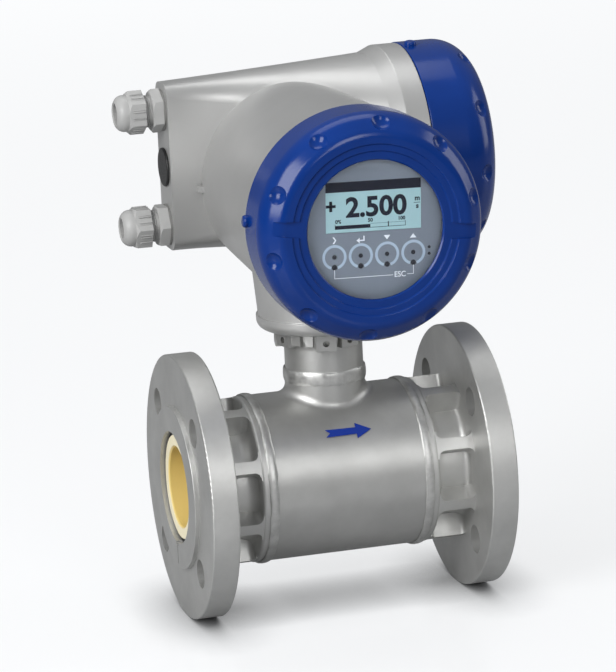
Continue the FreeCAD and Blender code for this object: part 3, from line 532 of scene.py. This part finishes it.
def window_pane(name):
    """Clear flat glass with a trace of smears."""
    pane = Finish(name, IOR=1.12, Transmission_Weight=1.0)
    pane.feed("Roughness", pane.span(pane.noise(scale=35), low=0.0, high=0.02))
    pane.feed("Base Color", pane.mix(0.5, (1, 1, 1), (0.97, 0.985, 0.99)))
    return pane.material


# ---------------------------------------------------------------- node finishes

class FLOW_OT_finishes(bpy.types.Operator):
    """Give every solid of the meter its finish."""

    bl_idname = "flow.finishes"
    bl_label = "Finishes"

    def execute(self, context):
        finish = context.scene.flow_finish
        steel = blasted_steel("Blasted steel", tuple(finish.steel))
        body_steel = blasted_steel("Blasted tube steel", shade(tuple(finish.steel), 0.9),
                                   roughness=0.43)
        rubber = moulded("Black rubber", srgb(38, 38, 38), roughness=0.7)
        iron = bright_metal("Soft iron", srgb(90, 90, 92), roughness=0.5)
        copper = bright_metal("Coil winding", srgb(176, 100, 50), roughness=0.35)
        bright = bright_metal("Bright metal", srgb(190, 190, 192))
        blue = gloss_paint("Gloss blue", tuple(finish.blue))
        board = laminate("Board lacquer", srgb(20, 92, 52))
        gland = moulded("Gland plastic", tuple(finish.plastic), roughness=0.42)
        washer = moulded("Grey rubber", srgb(120, 120, 118), roughness=0.6)
        dark = moulded("Tray plastic", srgb(60, 60, 62), roughness=0.5)
        looks = {
            "inlet_flange": steel, "outlet_flange": steel,
            "sensor_housing": body_steel, "neck_tube": body_steel,
            "measuring_tube": tube_ceramic("Ceramic", tuple(finish.ceramic),
                                           tuple(finish.bore)),
            "converter_housing": powder_coat("Powder coat", tuple(finish.paint)),
            "front_cover": blue, "terminal_cover": blue,
            "window_glass": window_pane("Window glass"), "window_retainer": bright,
            "display_panel": moulded("Panel plastic", tuple(finish.panel), roughness=0.5),
            "lcd_module": moulded("Screen housing", srgb(74, 84, 92), roughness=0.4),
            "key_lenses": moulded("Smoked lens", srgb(30, 32, 42), roughness=0.6),
            "status_lights": moulded("Lamp lens", srgb(36, 38, 48), roughness=0.6),
            "display_board": board, "main_board": board, "power_board": board,
            "display_tray": dark, "electronics_frame": dark, "sensor_leads": dark,
            "tray_screws": bright, "terminal_screws": bright,
            "terminal_block": moulded("Terminal plastic", srgb(110, 126, 114), roughness=0.5),
            "blanking_plug": moulded("Black plastic", srgb(24, 24, 25), roughness=0.4),
            "upper_coil": copper, "lower_coil": copper, "coil_yoke": iron,
            "upper_pole_shoe": iron, "lower_pole_shoe": iron,
            "electrode_front": bright, "electrode_back": bright,
        }
        for name in NODES:
            if name.endswith("_washer"):
                looks[name] = washer
            elif name.endswith(("_seal", "_gasket")):
                looks[name] = rubber
            elif "_gland_" in name:
                looks[name] = gland
            NODES[name].data.materials.clear()
            NODES[name].data.materials.append(looks[name])
        return {"FINISHED"}


# ---------------------------------------------------------------- display

# Printed strokes on the screen in millimetres from the axis: left, right, low and high.
PLUS_SIGN = ((-28.6, -22.6, 13.5, 15.2), (-26.5, -24.7, 11.2, 17.4))
UNIT_RULE = (25.2, 29.2, 13.6, 13.9)

# The unit's two letters, and the scale's numbers, with their places in millimetres: the letters
# above the axis, the numbers to the right of it.
UNIT_LETTERS = (("m", 16.0), ("s", 11.4))
SCALE_NUMBERS = (("0%", -21.2), ("50", -1.5), ("100", 17.9))

# Depth of the screen's film and of its print, and of the print on the panel.
FILM = 0.06 * MM
PRINT = 0.08 * MM


def display_plane(front):
    """Matrix from the display's own plane, across and up, to its place at one depth."""
    tilt = bpy.context.scene.flow_display.tilt
    across = Vector((math.cos(tilt), 0, -math.sin(tilt)))
    up = Vector((math.sin(tilt), 0, math.cos(tilt)))
    out = Vector((0, -1, 0))
    matrix = Matrix((across, up, out)).transposed().to_4x4()
    matrix.translation = (PANEL_CENTRE.x, front, PANEL_CENTRE.z)
    return matrix


def print_on(plane, name, pieces, material):
    """Joins printed shapes and lays them on a plane."""
    piece = merged(name, pieces)
    settle(piece, plane)
    return finish_piece(piece, material, "meter")


def stroke(name, sides):
    """Rectangle on the screen, from its four sides in millimetres."""
    return bar(name, *(side * MM for side in sides), FILM)


def screen_scale(shown):
    """Bar of the reading over a scale with three ticks, a marker and three numbers."""
    line = 0.3 * MM
    bar_high, rule_low, marker = 2.2 * MM, 2.4 * MM, 9.2 * MM
    start, end = shown.scale_start, shown.scale_end
    low, high = shown.scale_low, shown.scale_high
    middle = (start + end) / 2
    pieces = [bar("bar", start, middle, low + line, low + bar_high, FILM),
              bar("bar", start, end, low, low + line, FILM),
              bar("bar", middle, end, low + rule_low, low + rule_low + line / 2, FILM),
              bar("bar", start, start + line, low, high, FILM),
              bar("bar", end - line, end, low, high, FILM),
              bar("bar", marker, marker + 2 * line, low, high, FILM)]
    for text, across in SCALE_NUMBERS:
        pieces.append(lettering("bar", text, shown.scale_type,
                                (across * MM, shown.scale_type_rise), FILM,
                                bold=0.12 * MM))
    return pieces


class FLOW_OT_screen(bpy.types.Operator):
    """Make the screen's ground, header, reading, unit and bar."""

    bl_idname = "flow.screen"
    bl_label = "Screen"

    def execute(self, context):
        shown = context.scene.flow_display
        left = shown.screen_side - shown.screen_width / 2
        right = shown.screen_side + shown.screen_width / 2
        low = shown.screen_rise - shown.screen_height / 2
        high = shown.screen_rise + shown.screen_height / 2
        over = display_plane(SCREEN_FRONT - FILM)
        print_on(display_plane(SCREEN_FRONT), "screen_ground",
                 [bar("ground", left, right, low, high, FILM)],
                 screen_film("Screen film", srgb(160, 196, 204)))
        dark = ink("Screen ink", srgb(16, 20, 38), roughness=0.6)
        header = bar("header", left, right, high - shown.header, high, FILM)
        print_on(over, "screen_header", [header], dark)
        reading = lettering("reading", shown.reading, shown.reading_size,
                            (shown.reading_side, shown.reading_rise), FILM,
                            bold=shown.reading_weight, stretch=1.04)
        plus = [stroke("plus", sides) for sides in PLUS_SIGN]
        print_on(over, "screen_reading", [reading] + plus, dark)
        unit = [lettering("unit", letter, shown.unit_size, (shown.unit_side, rise * MM), FILM,
                          bold=0.16 * MM) for letter, rise in UNIT_LETTERS]
        unit.insert(1, stroke("unit", UNIT_RULE))
        print_on(over, "screen_unit", unit, dark)
        print_on(over, "screen_bar", screen_scale(shown), dark)
        return {"FINISHED"}


def key_centres(shown):
    """Places of the four keys across the panel."""
    first = shown.key_side - shown.key_pitch * 1.5
    return [first + shown.key_pitch * k for k in range(4)]


def key_icons(shown):
    """Right mark, enter mark, down mark and up mark, one over each key."""
    size, width, rise = shown.mark_size, shown.mark_stroke, shown.mark_rise
    right, enter, down, up = key_centres(shown)
    back, tip, slant = size * 0.55, size * 0.65, width * 1.3
    icons = [outline_piece("icon", [
        (right - back, rise + size), (right - back + slant, rise + size), (right + tip, rise),
        (right - back + slant, rise - size), (right - back, rise - size),
        (right + tip - slant, rise)], PRINT)]
    foot, barb = rise - size * 0.45, size * 0.8
    point, neck, shaft, end = (enter + size * reach for reach in (-1.3, -0.3, -0.4, 1.2))
    icons += [
        outline_piece("icon", [(point, foot), (neck, foot + barb), (neck, foot - barb)], PRINT),
        bar("icon", shaft, end, foot - width / 2, foot + width / 2, PRINT),
        bar("icon", end - width, end, foot + width / 2, rise + size * 0.9, PRINT)]
    for middle, way in ((down, -1), (up, 1)):
        icons.append(outline_piece("icon", [
            (middle - size, rise - way * tip), (middle + size, rise - way * tip),
            (middle, rise + way * tip)], PRINT))
    return icons


def key_bracket(shown):
    """Bracket from the first key to the last, with its label in the gap."""
    line, low, label = shown.bracket_line, shown.bracket_rise, shown.label_side
    centres = key_centres(shown)
    start, end = centres[0] - line / 2, centres[3] + line / 2
    top = shown.key_rise - shown.bracket_drop
    return [
        bar("line", start, start + line, low, top, PRINT),
        bar("line", start, label - shown.label_room, low - line, low, PRINT),
        bar("line", label + shown.label_room, end, low - line, low, PRINT),
        bar("line", end - line, end, low, top, PRINT),
        lettering("line", "ESC", shown.label_size, (label, low + 0.1 * MM), PRINT,
                  bold=0.06 * MM, stretch=0.95)]


class FLOW_OT_keys(bpy.types.Operator):
    """Print the rings, the marks and the bracket of the optical keys."""

    bl_idname = "flow.keys"
    bl_label = "Keys"

    def execute(self, context):
        shown = context.scene.flow_display
        plane = display_plane(PANEL_FRONT)
        white = ink("White print", srgb(226, 232, 240))
        blue = ink("Pale blue print", srgb(170, 188, 208))
        rings = [open_ring("ring", shown.key_radius, shown.key_line, (across, shown.key_rise),
                           shown.key_gap, PRINT) for across in key_centres(shown)]
        print_on(plane, "key_rings", rings, blue)
        print_on(plane, "key_marks", key_icons(shown), white)
        print_on(plane, "key_bracket", key_bracket(shown), white)
        return {"FINISHED"}


# ---------------------------------------------------------------- sensor printing and welds

class FLOW_OT_arrow(bpy.types.Operator):
    """Print the flow arrow round the front of the housing."""

    bl_idname = "flow.arrow"
    bl_label = "Flow arrow"

    def execute(self, context):
        depth, lift, strips = 0.05 * MM, 0.03 * MM, 12
        size = context.scene.flow_sensor
        half = size.arrow_height / 2
        shaft = half * 0.42
        tail = shaft * 1.15
        notch = size.arrow_start + half * 0.55
        outline = [(size.arrow_start, -tail), (size.arrow_head, -shaft),
                   (size.arrow_head, -half), (size.arrow_end, 0), (size.arrow_head, half),
                   (size.arrow_head, shaft), (size.arrow_start, tail), (notch, 0)]
        arrow = outline_piece("flow_arrow", outline, depth)
        deselect()
        arrow.select_set(True)
        bpy.context.view_layer.objects.active = arrow
        bpy.ops.object.mode_set(mode="EDIT")
        for k in range(1, strips):
            bpy.ops.mesh.select_all(action="SELECT")
            bpy.ops.mesh.bisect(plane_co=(0, -half + size.arrow_height * k / strips, 0),
                                plane_no=(0, 1, 0))
        bpy.ops.object.mode_set(mode="OBJECT")
        for vertex in arrow.data.vertices:
            reach = HOUSING_RADIUS + lift + vertex.co.z
            turn = size.arrow_angle + vertex.co.y / HOUSING_RADIUS
            vertex.co = (vertex.co.x, -reach * math.cos(turn), reach * math.sin(turn))
        blue = ink("Blue print", srgb(22, 50, 140), roughness=0.4)
        finish_piece(arrow, blue, "meter", smooth=30)
        return {"FINISHED"}


def weld_ring(name, radius, width, height, count, steps):
    """Weld round the Z axis: a flattened ring with overlapping scales along it."""
    bow, flat, scale_relief, scale_edge = 0.35, 0.88, 0.16, 0.05
    wander_out, wander_edge, wander_side = 0.03, 0.05, 0.02
    # Slow waves of an uneven hand, in waves round the ring.
    slow, quick, edge_waves, side_waves = 7, 17, 23, 5
    deselect()
    bpy.ops.mesh.primitive_torus_add(major_segments=steps, minor_segments=14,
                                     major_radius=radius, minor_radius=width / 2)
    piece = name_piece(name)
    for vertex in piece.data.vertices:
        x, y, z = vertex.co
        angle = math.atan2(y, x)
        out = (math.hypot(x, y) - radius) / (width / 2)
        across = z / (width / 2)
        phase = count * angle / (2 * math.pi) + bow * across * across
        scale = phase - math.floor(phase)
        wander = math.sin(angle * slow) + 0.6 * math.sin(angle * quick + 1)
        lift = out * height * (flat + scale_relief * scale)
        reach = radius + lift + wander_out * height * wander
        edge = z * (1 + wander_edge * math.sin(angle * edge_waves) + scale_edge * scale)
        vertex.co = (reach * math.cos(angle), reach * math.sin(angle),
                     edge + wander_side * width * math.sin(angle * side_waves))
    return piece


class FLOW_OT_welds(bpy.types.Operator):
    """Lay the rippled welds round the housing and the neck."""

    bl_idname = "flow.welds"
    bl_label = "Welds"

    def execute(self, context):
        housing_steps, neck_steps, sunk_share = 720, 600, 0.4
        size = context.scene.flow_sensor
        metal = weld_metal("Weld metal", tuple(context.scene.flow_finish.steel))
        middle = HOUSING_END - size.bead_width / 2
        for name, x in (("inlet_weld", -middle), ("outlet_weld", middle)):
            bead = weld_ring(name, HOUSING_RADIUS, size.bead_width, size.bead_height,
                             size.ripples, housing_steps)
            settle(bead, Matrix.Translation((x, 0, 0)) @ Matrix.Rotation(math.pi / 2, 4, "Y"))
            finish_piece(bead, metal, "meter", smooth=60)
        neck = weld_ring("neck_weld", size.neck_weld_radius, size.neck_weld_width,
                         size.neck_weld_height, size.neck_ripples, neck_steps)
        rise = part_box("neck_tube")[0].z + size.neck_weld_width * sunk_share
        settle(neck, Matrix.Translation((0, 0, rise)))
        finish_piece(neck, metal, "meter", smooth=60)
        return {"FINISHED"}


# ---------------------------------------------------------------- threads and grip ribs

def thread(name, root, crest, pitch, turns, out, start):
    """Screw thread: a skin over a cylinder, wound along an axis from a starting point."""
    # Corners of the profile: radius, and place as a share of the pitch.
    profile = ((root, 0), (root, 0.12), (crest, 0.42), (crest, 0.58), (root, 0.88))
    steps = 64
    deselect()
    bpy.ops.mesh.primitive_circle_add(vertices=len(profile), radius=MM, fill_type="NOTHING")
    piece = name_piece(name)
    for vertex, (radius, along) in zip(piece.data.vertices, profile):
        vertex.co = (radius, 0, along * pitch)
    modifier(piece, "Turns", "SCREW", angle=math.tau, screw_offset=pitch, iterations=turns,
             steps=steps, render_steps=steps, axis="Z", use_merge_vertices=False)
    deselect()
    piece.select_set(True)
    bpy.context.view_layer.objects.active = piece
    bpy.ops.object.mode_set(mode="EDIT")
    bpy.ops.mesh.select_all(action="SELECT")
    bpy.ops.mesh.fill_holes(sides=len(profile))
    bpy.ops.mesh.normals_make_consistent(inside=False)
    bpy.ops.object.mode_set(mode="OBJECT")
    turn = Vector((0, 0, 1)).rotation_difference(Vector(out)).to_matrix().to_4x4()
    return settle(piece, Matrix.Translation(start) @ turn)


def middle_of(node):
    """Middle of a node's box."""
    low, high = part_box(node)
    return (low + high) / 2


class FLOW_OT_threads(bpy.types.Operator):
    """Wind the threads on the cover spigots and on the glands' collars."""

    bl_idname = "flow.threads"
    bl_label = "Threads"

    def execute(self, context):
        size = context.scene.flow_thread
        painted = NODES["converter_housing"].data.materials[0]
        for side, out in (("front", (0, -1, 0)), ("terminal", (1, 0, 0))):
            start = middle_of(side + "_cover_seal") + Vector(out) * size.spigot_start
            piece = thread(side + "_spigot_thread", size.spigot_radius,
                           size.spigot_radius + size.spigot_relief, size.spigot_pitch,
                           size.spigot_turns, out, start)
            finish_piece(piece, painted, "meter", smooth=30)
        for side in ("upper", "lower"):
            start = middle_of(side + "_gland_body")
            start.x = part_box(side + "_gland_nut")[1].x + size.collar_length
            plastic = NODES[side + "_gland_body"].data.materials[0]
            piece = thread(side + "_gland_thread", size.collar_radius,
                           size.collar_radius + size.collar_relief, size.collar_pitch,
                           size.collar_turns, (-1, 0, 0), start)
            finish_piece(piece, plastic, "meter", smooth=30)
        return {"FINISHED"}


class FLOW_OT_grips(bpy.types.Operator):
    """Raise the fine grip ribs on the flats of the gland nuts."""

    bl_idname = "flow.grips"
    bl_label = "Grip ribs"

    def execute(self, context):
        flats = 6
        size = context.scene.flow_thread
        lift = size.nut_flat - size.rib_width / 2 + size.rib_relief
        for side, first_flat in (("upper", 0), ("lower", math.radians(30))):
            centre = middle_of(side + "_gland_nut")
            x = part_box(side + "_gland_nut")[1].x - size.rib_start - size.rib_length / 2
            deselect()
            bpy.ops.mesh.primitive_cube_add(size=1, location=(0, 0, 0))
            rib = name_piece("rib")
            rib.scale = (size.rib_length, size.rib_width, size.rib_width)
            settle(rib)
            modifier(rib, "Crest", "BEVEL", width=size.rib_width * 0.35, segments=2)
            copies = []
            for flat in range(flats):
                turn = Matrix.Rotation(math.tau / flats * flat + first_flat, 4, "X")
                for k in range(size.rib_count):
                    copy = rib.copy()
                    copy.data = rib.data.copy()
                    bpy.context.scene.collection.objects.link(copy)
                    across = (k - (size.rib_count - 1) / 2) * size.rib_pitch
                    settle(copy, Matrix.Translation((x, centre.y, centre.z)) @ turn
                           @ Matrix.Translation((0, across, lift)))
                    copies.append(copy)
            bpy.data.objects.remove(rib)
            ribs = merged(side + "_nut_ribs", copies)
            plastic = NODES[side + "_gland_nut"].data.materials[0]
            finish_piece(ribs, plastic, side + "_gland_nut", smooth=40)
        return {"FINISHED"}


# ---------------------------------------------------------------- stage

# Softboxes: name, place, width and height in metres, and power in watts.
SOFTBOXES = (
    ("key_softbox", (-1.6, -1.1, 1.0), (1.0, 1.4), 42),
    ("front_softbox", (0.3, -2.2, 0.9), (0.5, 0.9), 10),
    ("side_softbox", (1.9, -0.2, 0.8), (0.7, 1.4), 10),
    ("top_softbox", (0.0, 0.3, 1.8), (1.2, 0.8), 7),
)
LIGHT_AIM = (0, 0, 0.1)


def pale_floor():
    """Pale, faintly glossy floor with a painted contact shadow: its glow dims close to the object
    by ambient occlusion.
    """
    seen_glow, mirrored_glow = 0.67, 0.14
    front, back, back_glow = -4.2, -1.0, 1.25
    painted_shadow_reach, dark_share, clear_share = 45 * MM, 0.25, 0.95
    floor = Finish("Pale floor", Roughness=0.14, Specular_IOR_Level=0.35,
                   Base_Color=(0.3, 0.304, 0.31, 1), Emission_Color=(0.985, 0.992, 1, 1))
    path = floor.add("ShaderNodeLightPath").outputs
    seen = floor.math("MAXIMUM", path["Is Camera Ray"], path["Is Transmission Ray"])
    glow = floor.math("MAXIMUM", floor.math("MULTIPLY", seen, seen_glow),
                      floor.math("MULTIPLY", path["Is Glossy Ray"], mirrored_glow))
    depth = floor.span(floor.axes()[1], 1.0, back_glow, front, back)
    # Painted shadow: ambient occlusion darkens the floor's glow where the object stands close
    # over it.
    painted_shadow_occlusion = floor.add("ShaderNodeAmbientOcclusion", {"Distance": painted_shadow_reach}).outputs["AO"]
    painted_contact_shadow = floor.span(painted_shadow_occlusion, 0.0, 1.0, dark_share, clear_share)
    floor.feed("Emission Strength", floor.math("MULTIPLY", floor.math("MULTIPLY", glow, depth),
                                               painted_contact_shadow))
    return floor.material


def studio_world():
    """Soft light from all around, strongest from above."""
    world = bpy.data.worlds.new("Studio")
    world.use_nodes = True
    tree = world.node_tree
    place = tree.nodes.new("ShaderNodeTexCoord")
    split = tree.nodes.new("ShaderNodeSeparateXYZ")
    rise = tree.nodes.new("ShaderNodeMapRange")
    for socket, value in (("From Min", -0.1), ("From Max", 0.9), ("To Min", 0.11),
                          ("To Max", 0.44)):
        rise.inputs[socket].default_value = value
    tree.links.new(place.outputs["Generated"], split.inputs[0])
    tree.links.new(split.outputs["Z"], rise.inputs["Value"])
    light = tree.nodes["Background"]
    light.inputs["Color"].default_value = (0.96, 0.98, 1, 1)
    tree.links.new(rise.outputs["Result"], light.inputs["Strength"])
    return world


def soft_light(name, place, size, power):
    """Rectangular softbox aimed at the object."""
    lamp = bpy.data.lights.new(name, "AREA")
    lamp.shape = "RECTANGLE"
    lamp.size, lamp.size_y = size
    lamp.energy = power
    box = bpy.data.objects.new(name, lamp)
    bpy.context.scene.collection.objects.link(box)
    box.location = place
    aim = Vector(LIGHT_AIM) - Vector(place)
    box.rotation_euler = aim.to_track_quat("-Z", "Y").to_euler()


class FLOW_OT_stage(bpy.types.Operator):
    """Set up the floor, the lights and the camera."""

    bl_idname = "flow.stage"
    bl_label = "Stage"

    def execute(self, context):
        scene = context.scene
        view = scene.flow_stage
        deselect()
        bpy.ops.mesh.primitive_plane_add(size=view.floor_size,
                                         location=(0, view.floor_back, FLOOR))
        floor = name_piece("floor")
        floor.data.materials.append(pale_floor())
        scene.world = studio_world()
        for softbox in SOFTBOXES:
            soft_light(*softbox)
        back = Vector((math.sin(view.azimuth) * math.cos(view.elevation),
                       -math.cos(view.azimuth) * math.cos(view.elevation),
                       math.sin(view.elevation)))
        right = Vector((math.cos(view.azimuth), math.sin(view.azimuth), 0))
        up = back.cross(right)
        turned_right = right * math.cos(view.roll) + up * math.sin(view.roll)
        turned_up = up * math.cos(view.roll) - right * math.sin(view.roll)
        lens = bpy.data.cameras.new("camera")
        lens.lens = view.lens
        lens.sensor_width = 36
        lens.clip_end = 60
        camera = bpy.data.objects.new("camera", lens)
        scene.collection.objects.link(camera)
        place = Matrix((turned_right, turned_up, back)).transposed().to_4x4()
        place.translation = Vector(view.aim) + back * view.distance
        camera.matrix_world = place
        scene.camera = camera
        scene.view_settings.view_transform = "Standard"
        return {"FINISHED"}


# ---------------------------------------------------------------- add-on

OPERATORS = (FLOW_OT_stage, FLOW_OT_finishes, FLOW_OT_screen, FLOW_OT_keys, FLOW_OT_arrow,
             FLOW_OT_welds, FLOW_OT_threads, FLOW_OT_grips)


class FLOW_PT_panel(bpy.types.Panel):
    """Sidebar panel with one button for each group of pieces."""

    bl_idname = "FLOW_PT_panel"
    bl_label = "Flow Meter"
    bl_space_type = "VIEW_3D"
    bl_region_type = "UI"
    bl_category = "Flow Meter"

    def draw(self, context):
        for operator in OPERATORS:
            self.layout.operator(operator.bl_idname)


SETTINGS = (("flow_finish", FinishSettings), ("flow_display", DisplaySettings),
            ("flow_sensor", SensorSettings), ("flow_thread", ThreadSettings),
            ("flow_stage", StageSettings))


def register():
    for name, group in SETTINGS:
        bpy.utils.register_class(group)
        setattr(bpy.types.Scene, name, bpy.props.PointerProperty(type=group))
    for operator in OPERATORS:
        bpy.utils.register_class(operator)
    bpy.utils.register_class(FLOW_PT_panel)


def unregister():
    bpy.utils.unregister_class(FLOW_PT_panel)
    for operator in reversed(OPERATORS):
        bpy.utils.unregister_class(operator)
    for name, group in reversed(SETTINGS):
        delattr(bpy.types.Scene, name)
        bpy.utils.unregister_class(group)


def main():
    register()
    for operator in OPERATORS:
        group, action = operator.bl_idname.split(".")
        getattr(getattr(bpy.ops, group), action)()


if __name__ == "__main__":
    main()
